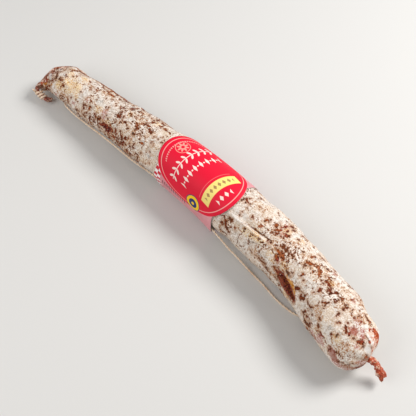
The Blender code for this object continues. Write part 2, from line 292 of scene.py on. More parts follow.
class Value:
    """A number that varies over a surface. Sums and products of values add Math nodes."""

    def __init__(self, finish, socket):
        self.finish = finish
        self.socket = socket

    def maths(self, operation, *others):
        made = self.finish.node("Math", {"operation": operation}, dict(enumerate((self, *others))))
        return Value(self.finish, made.outputs[0])

    def __rsub__(self, other):
        made = self.finish.node("Math", {"operation": "SUBTRACT"}, {0: other, 1: self})
        return Value(self.finish, made.outputs[0])

    __add__ = partialmethod(maths, "ADD")
    __sub__ = partialmethod(maths, "SUBTRACT")
    __mul__ = partialmethod(maths, "MULTIPLY")
    __truediv__ = partialmethod(maths, "DIVIDE")
    __pow__ = partialmethod(maths, "POWER")
    __abs__ = partialmethod(maths, "ABSOLUTE")

    def above(self, edge, softness):
        """0 below an edge and 1 above it, smooth over the softness."""
        made = self.finish.node(
            "MapRange",
            {"interpolation_type": "SMOOTHSTEP"},
            {"Value": self, "From Min": edge - softness / 2, "From Max": edge + softness / 2},
        )
        return Value(self.finish, made.outputs["Result"])

    def below(self, edge, softness):
        return 1 - self.above(edge, softness)


class Finish:
    """A material and the nodes in it."""

    def __init__(self, name):
        self.material = bpy.data.materials.new(name)
        self.material.use_nodes = True
        self.tree = self.material.node_tree
        self.shader = self.tree.nodes["Principled BSDF"]

    def feed(self, socket, value):
        """Sets a socket to a number, or to a colour of levels to 255, or links a value or socket to it."""
        if isinstance(value, Value):
            value = value.socket
        if isinstance(value, bpy.types.NodeSocket):
            self.tree.links.new(value, socket)
        elif socket.type == "RGBA":
            socket.default_value = (*(linear(level) for level in value), 1)
        else:
            socket.default_value = value

    def node(self, kind, settings, sockets):
        """Any other node: its settings first, then its sockets by name or number."""
        made = self.tree.nodes.new("ShaderNode" + kind)
        for setting, value in settings.items():
            setattr(made, setting, value)
        for key, value in sockets.items():
            self.feed(made.inputs[key], value)
        return made

    def noise(self, size, detail, roughness=0.5, offset=0.0):
        """Cloudy values about 0.5, with features of a size in millimetres."""
        where = self.node("TexCoord", {}, {}).outputs["Object"]
        if offset:
            where = self.node("VectorMath", {"operation": "ADD"}, {0: where, 1: (offset,) * 3}).outputs[0]
        made = self.node(
            "TexNoise", {},
            {"Vector": where, "Scale": 1 / (size * MM), "Detail": detail, "Roughness": roughness},
        )
        return Value(self, made.outputs[0])

    def stored(self, name):
        made = self.node("Attribute", {"attribute_name": name}, {})
        return Value(self, made.outputs["Fac"])

    def mix(self, share, first, second):
        """The first colour, turning to the second as share goes to 1."""
        made = self.node("Mix", {"data_type": "RGBA"}, {"Factor": share})
        self.feed(made.inputs[6], first)
        self.feed(made.inputs[7], second)
        return made.outputs[2]

    def patches(self, noise, softness, first, second):
        """Two colours in patches, where a noise is below and above its middle."""
        return self.mix(noise.above(0.5, softness), first, second)

    def layered(self, colour, *layers):
        """A colour with others laid over it in turn, each with its share."""
        for share, over in layers:
            colour = self.mix(share, colour, over)
        return colour

    def bump(self, height, distance, strength):
        made = self.node("Bump", {}, {"Height": height, "Distance": distance * MM, "Strength": strength})
        return made.outputs[0]

    def paint(self, **sockets):
        """Sets the surface's own sockets."""
        for name, value in sockets.items():
            self.feed(self.shader.inputs[name.replace("_", " ")], value)
        return self.material


# Camera


def studio_camera():
    azimuth, elevation = math.radians(CAMERA_AZIMUTH), math.radians(CAMERA_ELEVATION)
    back = Vector((
        math.sin(azimuth) * math.cos(elevation), -math.cos(azimuth) * math.cos(elevation), math.sin(elevation)
    ))
    right = Vector((math.cos(azimuth), math.sin(azimuth), 0))
    turned = Matrix((right, back.cross(right), back)).transposed().to_4x4()
    data = bpy.data.cameras.new("studio_camera")
    data.sensor_width = SENSOR
    data.lens = SENSOR * FOCAL_SHARE
    data.clip_start = 0.01
    camera = bpy.data.objects.new("studio_camera", data)
    bpy.context.scene.collection.objects.link(camera)
    camera.matrix_world = Matrix.Translation((Vector(LOOK_AT) + back * CAMERA_DISTANCE) * MM) @ turned
    bpy.context.scene.camera = camera


# Twine


def twine_finish():
    finish = Finish("cream_cotton_twine")
    fibre = finish.noise(0.5, 3, 0.6)
    patch = finish.noise(6, 2, offset=0.3)
    colour = finish.patches(fibre, 0.5, (255, 238, 216), (240, 208, 176))
    colour = finish.mix(patch.above(0.62, 0.2) * 0.6, colour, (222, 182, 146))
    return finish.paint(
        Base_Color=colour, Roughness=0.85, Normal=finish.bump(fibre, 0.15, 0.5), Sheen_Weight=0.15
    )


def plied_tree():
    """Twine of plies that turn round each other along a curve."""
    tree = bpy.data.node_groups.new("plied_twine", "GeometryNodeTree")
    face = tree.interface
    face.new_socket("Geometry", in_out="INPUT", socket_type="NodeSocketGeometry")
    for name in ("Thickness", "Pitch", "Spacing"):
        face.new_socket(name, in_out="INPUT", socket_type="NodeSocketFloat")
    face.new_socket("Finish", in_out="INPUT", socket_type="NodeSocketMaterial")
    face.new_socket("Geometry", in_out="OUTPUT", socket_type="NodeSocketGeometry")

    def add(kind, settings=None, **inputs):
        made = tree.nodes.new(kind)
        for name, value in (settings or {}).items():
            setattr(made, name, value)
        for name, value in inputs.items():
            key = int(name[1:]) if name[1:].isdigit() else name.replace("_", " ")
            socket = made.inputs[key]
            if isinstance(value, bpy.types.NodeSocket):
                tree.links.new(value, socket)
            else:
                socket.default_value = value
        return made

    def maths(operation, first, second=0.0):
        return add("ShaderNodeMath", {"operation": operation}, i0=first, i1=second).outputs[0]

    def vector(operation, first, **others):
        return add("ShaderNodeVectorMath", {"operation": operation}, i0=first, **others).outputs[0]

    given = tree.nodes.new("NodeGroupInput").outputs
    mode = {"mode": "LENGTH"}
    line = add("GeometryNodeResampleCurve", mode, Curve=given["Geometry"], Length=given["Spacing"])
    run = add("GeometryNodeSplineParameter").outputs["Length"]
    turned = maths("MULTIPLY", maths("DIVIDE", run, given["Pitch"]), TURN)
    normal = add("GeometryNodeInputNormal").outputs[0]
    tangent = add("GeometryNodeInputTangent").outputs[0]
    sideways = vector("CROSS_PRODUCT", tangent, i1=normal)
    off = maths("MULTIPLY", given["Thickness"], PLY_OFFSET)
    radius = maths("MULTIPLY", given["Thickness"], PLY_RADIUS)
    section = add("GeometryNodeCurvePrimitiveCircle", Resolution=PLY_SIDES, Radius=radius)
    joined = add("GeometryNodeJoinGeometry")
    for ply in range(PLIES):
        angle = maths("ADD", turned, TURN * ply / PLIES)
        across = vector("SCALE", normal, Scale=maths("MULTIPLY", maths("COSINE", angle), off))
        over = vector("SCALE", sideways, Scale=maths("MULTIPLY", maths("SINE", angle), off))
        shift = vector("ADD", across, i1=over)
        strand = add("GeometryNodeSetPosition", Geometry=line.outputs[0], Offset=shift)
        tube = add(
            "GeometryNodeCurveToMesh",
            Curve=strand.outputs[0], Profile_Curve=section.outputs[0], Fill_Caps=True,
        )
        tree.links.new(tube.outputs[0], joined.inputs[0])
    smooth = add("GeometryNodeSetShadeSmooth", Geometry=joined.outputs[0])
    real = add("GeometryNodeRealizeInstances", Geometry=smooth.outputs[0])
    done = add("GeometryNodeSetMaterial", Geometry=real.outputs[0], Material=given["Finish"])
    out = tree.nodes.new("NodeGroupOutput")
    tree.links.new(done.outputs[0], out.inputs[0])
    return tree


def set_inputs(modifier, **values):
    """Sets a node modifier's inputs by the identifiers of its named sockets."""
    for item in modifier.node_group.interface.items_tree:
        if item.in_out == "INPUT" and item.name in values:
            modifier[item.identifier] = values[item.name]


def plied(name, path, thickness, tree, material):
    """A plied cord along a path, as a plain mesh."""
    data = bpy.data.curves.new(name, "CURVE")
    data.dimensions = "3D"
    spline = data.splines.new("POLY")
    spline.points.add(len(path) - 1)
    for point, spot in zip(spline.points, path):
        point.co = (*(spot * MM), 1)
    piece = bpy.data.objects.new(name, data)
    bpy.context.scene.collection.objects.link(piece)
    modifier = piece.modifiers.new("plies", "NODES")
    modifier.node_group = tree
    set_inputs(
        modifier, Thickness=thickness * MM, Pitch=PLY_PITCH * MM, Spacing=PLY_STEP * MM, Finish=material,
    )
    return baked(piece)


def carried_frames(centres):
    """A side and an up direction for each point of a path, carried along it without twisting."""
    tangents = np.gradient(centres, axis=0)
    tangents /= np.linalg.norm(tangents, axis=1)[:, None]
    up = np.array([0.0, 0.0, 1.0])
    frames = []
    for tangent in tangents:
        up = up - tangent * np.dot(up, tangent)
        up /= np.linalg.norm(up)
        frames.append((np.cross(up, tangent), up))
    return frames


def wound_path():
    """The centre line of the turns that lash the left tail, with its loose end."""
    core = even_curve(LEFT_TAIL, LASHING_STEPS, span=LASHING_SPAN)[:, :3]
    side, up = (np.array(axis) for axis in zip(*carried_frames(core)))
    angles = LASHING_START + TURN * LASHING_TURNS * np.linspace(0, 1, LASHING_STEPS)[:, None]
    around = side * np.cos(angles) + up * np.sin(angles)
    lean = np.cross(side, up) * np.cos(angles - LASHING_LEAN)
    turns = core + (LASHING_RADIUS - LASHING_TWINE / 2) * around + LASHING_SLANT * lean
    away = (turns[0] - turns[1]) / np.linalg.norm(turns[0] - turns[1])
    loose = turns[0] + away * np.linspace(LASHING_END, 0, LOOSE_STEPS, endpoint=False)[:, None]
    return np.vstack([loose, turns])


def make_twine():
    tree = plied_tree()
    material = twine_finish()
    route = even_curve(TWINE_ROUTE, ROUTE_STEPS)
    twine = plied("twine_loop", route, TWINE, tree, material)
    lashing = plied("twine_turns", wound_path(), LASHING_TWINE, tree, material)
    for piece, node in ((twine, "twine"), (lashing, "twine_lashing")):
        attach(piece, "root")
        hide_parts(node)


# Sausage


def underside(x):
    """The lowest that the skin may reach at x."""
    band = ramp(x, *BAND_LIFT[:2]) * (1 - ramp(x, *BAND_LIFT[2:]))
    twine = ramp(x, *TWINE_LIFT[:2]) * (1 - ramp(x, *TWINE_LIFT[2:]))
    return BAND_CLEARANCE * band + TWINE_CLEARANCE * twine


def crease_height(x, angle, radius, crease):
    (x1, a1), (x2, a2), half_width, rise = crease
    share = np.clip((x - x1) / (x2 - x1), 0, 1)
    middle = np.radians(a1 + (a2 - a1) * share)
    off = np.hypot(x - (x1 + (x2 - x1) * share), radius * (angle - middle))
    fade = np.sin(math.pi * np.clip(share, CREASE_FADE, 1 - CREASE_FADE))
    return rise * fade * np.exp(-(off / half_width) ** 2)


def relief(x, angle, radius):
    """How far the skin stands out from its round section, for x and the angle round it."""
    turn = TURN * x / LUMP_STRETCH
    height = sum(h * np.sin(turn * n + m * angle + start) for n, m, h, start in LUMPS)
    for end, (count, depth, reach) in ((SKIN[0][0], LEFT_GATHERS), (SKIN[-1][0], RIGHT_GATHERS)):
        near = 1 - ramp(np.abs(x - end), 0, reach)
        height = height * (1 - near) + near * depth * radius * np.cos(count * angle + 1)
    return height + sum(crease_height(x, angle, radius, crease) for crease in CREASES.values())


def skin_grid():
    """Points of the skin by ring and side, and each one's station, angle and radius."""
    angles = np.linspace(0, TURN, SKIN_SIDES, endpoint=False)[None, :]
    x, y, z, radius, heading = (
        column[:, None] for column in even_curve(SKIN, SKIN_RINGS, spacing=RING_CROWDING).T
    )
    round_place = np.stack([x + 0 * angles, radius * np.cos(angles), radius * np.sin(angles)], -1)
    fine = sum(
        height * mottle(round_place, size, WRINKLE_SEED + k, 2)
        for k, (size, height) in enumerate(WRINKLES)
    )
    out = radius + relief(x, angles, radius) + fine * np.minimum(1, radius / WRINKLE_FULL_RADIUS)
    level = out * np.cos(angles)
    turned = np.radians(heading)
    ring_x = x - level * np.sin(turned)
    ring_y = y + level * np.cos(turned)
    ring_z = np.maximum(z + out * np.sin(angles), underside(ring_x))
    return np.stack([ring_x, ring_y, ring_z], -1), x + 0 * angles, angles + 0 * x, radius + 0 * angles


# Marks on the skin by their look and half width in millimetres. Each runs from one place to another, as x and
# degrees round the skin, and a round one has one place only.
MARKS = {
    # Rust-brown spots where the casing shows through the mould.
    "rust": {
        0.3: [(-145, 150, -145, 165)],
        0.4: [(-62, 105, -63, 115), (-44, 140)],
        0.5: [(-141, 122), (-123, 81), (-125, 91), (-113, 141), (-112, 112), (-86, 87), (-46, 136),
              (25, 85, 27, 85), (27, 95), (27, 109), (66, 127), (83, 117), (90, 84, 92, 81), (125, 121)],
        0.6: [(-141, 56, -133, 52), (-96, 43, -83, 44), (-70, 34, -67, 31), (-117, 145),
              (-106, 140, -104, 136), (-106, 118), (-105, 81), (-89, 69), (-89, 103), (-89, 111), (-86, 124),
              (-84, 130), (-58, 115), (-56, 123), (-49, 102), (-46, 100), (-44, 92), (-42, 104), (-46, 119),
              (-51, 152), (24, 91), (35, 103), (27, 117), (57, 75), (53, 60), (56, 90), (63, 38), (59, 100),
              (62, 135), (77, 46, 79, 45), (78, 85, 80, 80), (80, 92), (91, 91), (92, 74), (100, 124),
              (109, 90, 109, 79), (111, 72), (110, 98, 110, 106), (113, 111, 114, 107), (116, 133),
              (84, 173, 87, 173), (76, 160, 79, 168), (66, 140, 68, 143)],
        0.7: [(-119, 42, -104, 36), (-85, 31, -79, 34), (-117, 173), (-106, 140, -105, 151), (-108, 89),
              (-100, 70), (-104, 81), (-74, 113), (-68, 87), (-89, 154, -88, 158), (-61, 90), (-64, 56),
              (-61, 61), (-57, 69), (-49, 69, -48, 65), (-48, 117), (-55, 165), (27, 45, 28, 51),
              (25, 160, 28, 162), (51, 116, 53, 115), (54, 92), (48, 70), (49, 92), (55, 59, 56, 54),
              (62, 66), (75, 48), (78, 167, 84, 172), (88, 139), (90, 133), (98, 137), (92, 117), (88, 76),
              (102, 106), (115, 66), (131, 175), (72, 160, 75, 164)],
        0.8: [(-134, 74), (-133, 54), (-133, 52, -119, 42), (-111, 35, -107, 30), (-78, 148, -76, 152),
              (-68, 146, -68, 156), (-61, 149), (-58, 144), (-58, 52, -58, 43), (-43, 161), (23, 81, 25, 85),
              (23, 31), (43, 81), (20, 159, 21, 157), (54, 70, 54, 74), (50, 75), (61, 46), (74, 73, 75, 69),
              (75, 65, 76, 64), (80, 115, 80, 109), (87, 45), (100, 114, 101, 110), (133, 74), (117, 194),
              (66, 146, 69, 152)],
        0.9: [(-136, 86), (-139, 129), (-144, 108), (-141, 159), (-98, 36, -95, 33), (-120, 154, -119, 168),
              (-95, 142), (-95, 64, -93, 62), (-90, 140, -91, 150), (-62, 105), (-75, 61, -74, 50), (34, 102),
              (41, 90, 42, 85), (20, 143), (30, 144), (51, 64, 51, 68), (55, 81), (64, 146, 68, 148),
              (70, 155, 76, 166), (97, 154), (96, 91, 96, 85), (116, 94), (115, 77), (119, 68),
              (117, 102, 120, 108), (134, 106), (134, 183)],
        1.0: [(-75, 142, -74, 149), (24, 74), (22, 148, 25, 160), (47, 79, 48, 83), (51, 94, 52, 91),
              (52, 52, 53, 51), (100, 160), (91, 83, 94, 83), (121, 104), (127, 98)],
        1.1: [(50, 87, 51, 82), (56, 82, 57, 80), (59, 115, 61, 116), (76, 89, 78, 85), (104, 162)],
        1.2: [(-141, 96), (-128, 131), (-101, 138), (61, 126, 63, 128), (89, 144, 91, 140),
              (93, 106, 93, 103)],
        1.3: [(83, 139, 84, 136)],
        1.4: [(128, 92)],
    },
    # Spots and slits that are nearly black.
    "dark": {
        0.4: [(60, 99, 61, 94), (93, 137, 97, 139), (126, 76, 129, 75), (-88, 149, -86, 148),
              (46, 156, 48, 160)],
        0.5: [(-128, 68, -126, 52), (-126, 52, -119, 51), (-128, 167, -125, 166), (-111, 168, -108, 167),
              (-106, 165, -103, 170), (24, 155, 25, 159), (55, 157, 59, 154), (66, 164, 69, 163),
              (87, 134, 89, 134), (120, 152, 121, 160), (120, 160, 121, 172), (132, 148), (134, 122),
              (-124, 66), (50, 158, 53, 160), (57, 162, 60, 165), (64, 168)],
        0.6: [(-128, 131), (-53, 170, -53, 181), (52, 156, 55, 157), (60, 159, 61, 165), (61, 165, 64, 166),
              (85, 170), (93, 105), (128, 165, 129, 162), (-127, 60)],
        0.7: [(-76, 147), (76, 189), (98, 148), (111, 152), (127, 168, 129, 162), (72, 149, 77, 154),
              (-131, 70), (-139, 112), (-143, 108)],
        0.8: [(-68, 163), (-65, 158), (-52, 96), (101, 146), (102, 114), (116, 52, 119, 52),
              (79, 158, 86, 163), (-134, 62), (-139, 82)],
        0.9: [(22, 90, 22, 84), (76, 96, 77, 95), (75, 124), (96, 163, 97, 158), (107, 82, 108, 78),
              (-137, 100), (-141, 125)],
        1.0: [(-70, 189), (106, 136), (108, 145, 109, 148), (130, 95), (-133, 118)],
        1.1: [(-142, 143), (-75, 104), (-67, 121), (-62, 123), (23, 138, 25, 138), (67, 102, 68, 101),
              (72, 131, 75, 134), (85, 63), (118, 126)],
        1.2: [(-140, 67), (-136, 114), (60, 103, 63, 102), (124, 102)],
        1.3: [(101, 170, 104, 169)],
        1.5: [(-146, 167)],
    },
    # Thin brown cracks, and a painted shadow line beside the fold's ridge.
    "crack": {
        0.25: [(46, 137, 49, 133)],
        # (33, 122, 38, 120) is a painted shadow line beside the fold's ridge.
        0.3: [(33, 122, 38, 120), (42, 142, 46, 137), (-92, 141, -89, 141)],
        0.35: [(46, 115, 52, 112), (35, 127, 36, 136), (36, 136, 36, 141), (35, 148, 36, 163),
               (36, 163, 36, 171), (-125, 52, -118, 50), (52, 156, 58, 155), (-106, 165, -102, 172),
               (-128, 167, -124, 166), (-111, 168, -107, 168), (126, 76, 129, 75), (93, 136, 98, 140)],
        0.4: [(36, 141, 35, 148), (-128, 68, -125, 52), (25, 155, 28, 164), (96, 163, 100, 172),
              (69, 150, 70, 166), (60, 158, 62, 166), (116, 51, 120, 52), (87, 134, 90, 134)],
        0.5: [(-91, 146, -91, 156), (-91, 156, -88, 172)],
        0.6: [(38, 119, 46, 115)],
    },
    # Veils of pink and mauve.
    "rosy": {
        0.8: [(-88, 117)],
        1.0: [(-145, 120, -144, 140), (-114, 156), (-105, 122)],
        1.1: [(128, 106)],
        1.2: [(64, 130), (89, 53), (107, 60)],
        1.3: [(123, 78)],
        1.4: [(-133, 175), (-87, 137), (51, 61), (54, 84)],
        1.6: [(-62, 140), (52, 72, 53, 76), (76, 162), (108, 174, 112, 182), (126, 178, 132, 184)],
        1.7: [(126, 85)],
        1.8: [(68, 150, 80, 168), (-144, 60, -143, 92), (118, 74)],
        2.0: [(-89, 121), (113, 162, 115, 168)],
        2.4: [(135, 143)],
        2.6: [(121, 94)],
    },
    # Mauve patches where the mould is thin.
    "mauve": {
        0.5: [(110, 178, 114, 180)],
        0.6: [(-143, 100, -142, 118), (-144, 135, -143, 150)],
        0.8: [(124, 78)],
        0.9: [(126, 84)],
        2.2: [(121, 94)],
        2.6: [(122, 160, 125, 168)],
    },
    # Tan patches.
    "tan": {
        0.4: [(124, 140), (125, 118), (129, 120), (122, 146), (126, 150), (119, 142)],
        0.5: [(127, 124)],
        0.6: [(-131, 150, -122, 160)],
        0.7: [(79, 175, 82, 178), (-143, 153)],
        0.8: [(100, 135), (-87, 156), (-94, 125), (-92, 143, -88, 146)],
        1.0: [(69, 129), (50, 152, 58, 158)],
        1.2: [(62, 160, 70, 164)],
        1.6: [(66, 148, 70, 156)],
        1.7: [(109, 153)],
        1.9: [(102, 131, 105, 136)],
    },
    # Yellow patches, and a painted cream-orange highlight on the slit's lower lip.
    "ochre": {
        0.4: [(44, 128, 48, 126)],
        # (43, 119, 49, 120) is a painted highlight on the slit's lower lip.
        0.5: [(43, 119, 49, 120), (36, 134, 42, 132)],
        0.6: [(-84, 136, -78, 150)],
        0.7: [(-143, 153), (79, 175, 82, 178), (-61, 144)],
        0.8: [(-87, 156), (119, 131), (93, 79)],
        0.9: [(-128, 87), (54, 73)],
        1.0: [(-114, 134), (-73, 88), (-55, 65), (63, 62)],
        1.2: [(58, 131, 60, 132), (69, 129)],
        1.4: [(-94, 125)],
        1.6: [(-117, 76)],
        1.8: [(-122, 98)],
        3.0: [(-131, 134, -117, 112)],
    },
    # Thick white powder, and painted highlights along the fold's ridge and the slit's lower lip.
    "white": {
        0.3: [(-131, 100)],
        # Those from x 22 to 50 are painted highlights along the fold's ridge and the slit's lower lip.
        0.4: [(-88, 151), (22, 126, 28, 127), (28, 127, 39, 119), (46, 119, 50, 119)],
        0.6: [(-129, 56), (126, 72, 129, 70), (-80, 60, -76, 56)],
        0.7: [(-138, 72), (-47, 95), (77, 66), (128, 56)],
        0.8: [(75, 137)],
        0.9: [(-142, 104, -141, 122)],
        1.1: [(131, 63)],
        1.3: [(122, 64)],
        1.4: [(132, 92, 133, 86)],
    },
    # Bare orange-red casing.
    "bare": {
        0.7: [(124, 60, 125, 52), (128, 70)],
        0.9: [(-146, 150, -146, 200), (-140, 60, -134, 58), (-146, 120, -145, 135)],
        1.0: [(133, 55, 134, 70)],
        1.2: [(130, 74), (-145, 60, -142, 62)],
        1.4: [(126, 64)],
        1.6: [(129, 60, 132, 50)],
        3.0: [(127, 47, 131, 39)],
    },
    # Grey mould.
    "sooty": {
        0.8: [(-62, 75), (-48, 113), (98, 142, 99, 140)],
        0.9: [(-99, 97), (-96, 101), (-77, 141), (-45, 146), (85, 134), (113, 128)],
        1.0: [(66, 158, 72, 166), (118, 120)],
        1.2: [(-99, 106)],
        1.3: [(-53, 127)],
        1.4: [(52, 150, 62, 160)],
    },
    # Dark red meat in the gashes.
    "deep": {
        1.3: [(-83, 162, -80, 161)],
        1.6: [(81, 160, 86, 163)],
        1.8: [(-86, 155, -80, 153)],
        1.9: [(70, 146, 74, 152)],
        2.4: [(74, 152, 81, 160)],
    },
    # The golden fold beside the right gash, and golden spots near the knot.
    "golden": {
        0.4: [(-144, 152), (-139, 146)],
        1.0: [(74, 138, 77, 141), (81, 144, 84, 151)],
        1.4: [(77, 141, 81, 144)],
    },
}
# The rim along the far side, partly bare casing and partly painted rim light: its angle and width, what it
# adds to the wear, and how it fades.
RIM_ANGLE = 30.0
RIM_SPREAD = 9.0
RIM_WEAR = 0.05
RIM_FADE = (-40.0, 20.0)
RIM_LOSS = 0.7
# The left end is more worn near its knot, and the wear fades from one x to another.
KNOB_WEAR = 0.06
KNOB_SPAN = (-146.0, -130.0)
# How much the mould is worn along the sausage, at places along x.
WEAR = [
    (-132, 0.02), (-122, -0.05), (-106, -0.02), (-92, 0.03), (-60, 0.04), (-40, 0.01), (20, -0.03),
    (55, -0.03), (68, -0.03), (85, -0.03), (100, -0.02), (112, -0.05), (120, -0.09), (135, -0.14),
]
# Where the near side turns down it is a darker grey, from one angle to another, and not on the right dome.
GREYER_LOW_SIDE = (146.0, 184.0)
PLAIN_RIGHT_DOME = (100.0, 118.0)
# How far inside or outside its marks a place is stored as being, at most.
DEEPEST_INSIDE = 4.0


def inside(x, angle, radius, ends, half_width):
    """How many millimetres each place lies inside a mark, and less than 0 outside it."""
    x1, a1, x2, a2 = (ends * 2)[:4]
    run, rise = x - x1, radius * (angle - math.radians(a1))
    far_run, far_rise = x2 - x1, radius * math.radians(a2 - a1)
    share = np.clip((run * far_run + rise * far_rise) / np.maximum(far_run**2 + far_rise**2, 1e-6), 0, 1)
    return half_width - np.hypot(run - far_run * share, rise - far_rise * share)


def skin_finish():
    finish = Finish("mould_bloomed_casing")
    clumps = finish.noise(18, 2, offset=0.11)
    spots = finish.noise(3.2, 4, 0.6, offset=0.23)
    grains = finish.noise(1.7, 3, 0.6, offset=0.29)
    flecks = finish.noise(1.0, 3, 0.6, offset=0.37)
    powder = finish.noise(0.5, 2, offset=0.41)
    tint = finish.noise(7, 3, offset=0.53)
    warm = finish.noise(12, 3, offset=0.61)
    placed = {name: finish.stored(name) for name in MARKS}
    ragged = (flecks - 0.5) * 2.6 + (grains - 0.5) * 2.0
    low, rim = finish.stored("low"), finish.stored("rim")
    wear = finish.stored("wear") + low * 0.03
    worn = spots + (clumps - 0.5) * 0.4 + (flecks - 0.5) * 0.3 + wear

    def area(name, grow=0.0, softness=0.5):
        """Where a look's marks are, with ragged edges."""
        return (placed[name] + ragged + grow).above(0.0, softness)

    # The mould: pale, with warm, grey and powdery patches.
    # Yellow patches, and a painted highlight on the slit's lower lip.
    yellow_and_highlight = area("ochre", 1.4, 3.0) * (tint + spots * 0.6 + flecks * 0.4).above(0.88, 0.4)
    bloom = finish.layered(
        finish.patches(grains, 0.2, (240, 229, 217), (192, 172, 154)),
        (tint.above(0.52, 0.2) * 0.5, (218, 186, 152)),
        (warm.above(0.58, 0.15) * 0.3, (230, 198, 154)),
        # Darker grey patches towards the lower near side.
        (low * (clumps + spots * 0.5).above(0.7, 0.2) * 0.6, (160, 142, 120)),
        (area("rosy", 0.4, 1.4) * 0.85, (176, 106, 92)),
        (yellow_and_highlight * 0.9, finish.patches(flecks, 0.1, (248, 214, 152), (226, 168, 88))),
        (area("tan", 0.6, 1.0) * 0.8, (190, 136, 84)),
        (area("sooty", 0.3, 1.6) * 0.65, (124, 114, 106)),
        (powder.above(0.53, 0.1) * 0.8, (249, 242, 234)),
    )
    # The casing under it, which shows at worn spots, at placed ones and in patches along the far rim, where
    # it is partly bare casing and partly painted rim light.
    casing = finish.layered(
        finish.patches(warm, 0.2, (128, 52, 20), (166, 84, 34)),
        (area("rosy", 1.0, 1.0), (156, 62, 40)),
        # Orange casing along the far rim: partly bare casing, partly painted rim light.
        (rim.above(0.35, 0.3), (168, 88, 46)),
        (flecks.above(0.53, 0.12) * 0.9, (70, 28, 8)),
    )
    # Patches along the far rim, partly bare casing and partly painted rim light.
    edge = rim * 0.5 + (spots - 0.5) * 1.6 + (warm - 0.5) * 2.2 + (clumps - 0.5)
    showing = worn.above(0.625, 0.04).maths("MAXIMUM", area("rust", -0.1))
    showing = showing.maths("MAXIMUM", edge.above(0.5, 0.06) * 0.9)
    # Stains round the spots, and fine flecks between them.
    stain = worn.above(0.56, 0.1)
    for name, grow, softness in (("rust", 0.9, 1.4), ("dark", 0.8, 1.2), ("deep", 1.4, 1.4)):
        stain = stain.maths("MAXIMUM", area(name, grow, softness))
    fine = flecks + (clumps - 0.5) * 0.5 + (spots - 0.5) * 0.6 + wear * 0.8
    # The placed marks where the skin is bare or broken.
    bare = finish.patches(grains, 0.2, (196, 92, 48), (140, 52, 26))
    bare = finish.mix((spots + flecks * 0.5).above(0.76, 0.08), bare, (236, 204, 184))
    flesh = finish.mix((flecks + grains).above(1.03, 0.1), (74, 20, 22), (148, 72, 48))
    # Cracks, and a painted shadow line beside the fold's ridge.
    crack = (placed["crack"] + (flecks - 0.5) * 1.2).above(0.0, 0.3)
    colour = finish.layered(
        bloom,
        (stain * 0.5, (184, 126, 78)),
        (fine.above(0.56, 0.05) * 0.6, (182, 122, 76)),
        (fine.above(0.605, 0.05) * 0.9, finish.patches(tint, 0.1, (92, 46, 20), (164, 104, 56))),
        (showing, casing),
        (area("mauve", 0.0, 1.0) * 0.75, (162, 92, 76)),
        (area("bare"), bare),
        ((placed["deep"] + ragged * 2.2 + 0.2).above(0.0, 0.5), flesh),
        (area("golden", 0.2), finish.patches(grains, 0.3, (226, 164, 84), (176, 106, 40))),
        (crack * 0.9, finish.patches(grains, 0.2, (128, 70, 22), (70, 30, 8))),
        (area("dark", -0.15) * 0.92, finish.patches(flecks, 0.1, (62, 28, 8), (112, 54, 22))),
        # White powder, and painted highlights along the fold's ridge and the slit's lower lip.
        (area("white", -0.1, 1.2) * (grains + 0.25), (250, 244, 238)),
    )
    height = spots * -0.6 + flecks * 0.6 + powder * 0.5 - showing * 0.5
    return finish.paint(
        Base_Color=colour, Roughness=0.9 - showing * 0.35, Specular_IOR_Level=0.15,
        Normal=finish.bump(height, 0.8, 0.9),
    )


def make_sausage():
    material = skin_finish()
    points, x, angle, radius = skin_grid()
    skin = closed_loft("sausage_skin", points, material)
    for name, marks in MARKS.items():
        depths = [inside(x, angle, radius, ends, width) for width, places in marks.items() for ends in places]
        store(skin, name, np.clip(np.max(depths, axis=0), -DEEPEST_INSIDE, DEEPEST_INSIDE))
    # A band along the far rim, partly bare casing and partly painted rim light.
    rim = np.exp(-((np.degrees(angle) - RIM_ANGLE) / RIM_SPREAD) ** 2)
    rim = rim * (1 - RIM_LOSS * ramp(x, *RIM_FADE))
    store(skin, "rim", rim)
    store(skin, "low", ramp(np.degrees(angle), *GREYER_LOW_SIDE) * (1 - ramp(x, *PLAIN_RIGHT_DOME)))
    # The wear also carries a share of the painted rim light along the far rim.
    store(skin, "wear", rim * RIM_WEAR + KNOB_WEAR * (1 - ramp(x, *KNOB_SPAN)) + np.interp(x, *zip(*WEAR)))
    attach(skin, "root")
    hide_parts("sausage")
    tails = (
        ("left_tail", LEFT_TAIL, (158, 84, 62), (98, 40, 26)),
        ("right_tail", RIGHT_TAIL, (206, 92, 48), (136, 48, 24)),
    )
    for name, tail, light, dark in tails:
        piece = closed_loft(name, tail_rings(tail), tail_finish(name + "_casing", light, dark))
        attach(piece, "root")
        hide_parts("sausage")


def tail_rings(tail):
    """Rings of a twisted strand of casing, whose end is frayed into points."""
    path = even_curve(tail, TAIL_RINGS)
    share = np.linspace(0, 1, TAIL_RINGS)[:, None]
    angles = np.linspace(0, TURN, TAIL_SIDES, endpoint=False)[None, :]
    turned = angles - TURN * TAIL_TURNS * share
    centres, radius = path[:, :3], path[:, 3:4]
    run = share * len(tail) * TAIL_NOISE_RUN + 0 * turned
    place = np.stack([run, radius * np.cos(turned), radius * np.sin(turned)], -1)
    ridges = 1 + TAIL_RIDGE * np.cos(TAIL_STRANDS * turned) + TAIL_ROUGHNESS * mottle(place, *RIDGE_NOISE)
    ridges = np.minimum(ridges, 1 + TAIL_RIDGE)
    frayed = ramp(share, FRAY_START, 1) * FRAY_REACH * (mottle(place, *FRAY_NOISE) - FRAY_SHIFT)
    side, up = (np.array(axis)[:, None, :] for axis in zip(*carried_frames(centres)))
    ahead = np.cross(side, up)
    out = (radius * ridges)[..., None]
    across = out * np.cos(angles)[..., None] * side + out * np.sin(angles)[..., None] * up
    return centres[:, None, :] + across - frayed[..., None] * ahead


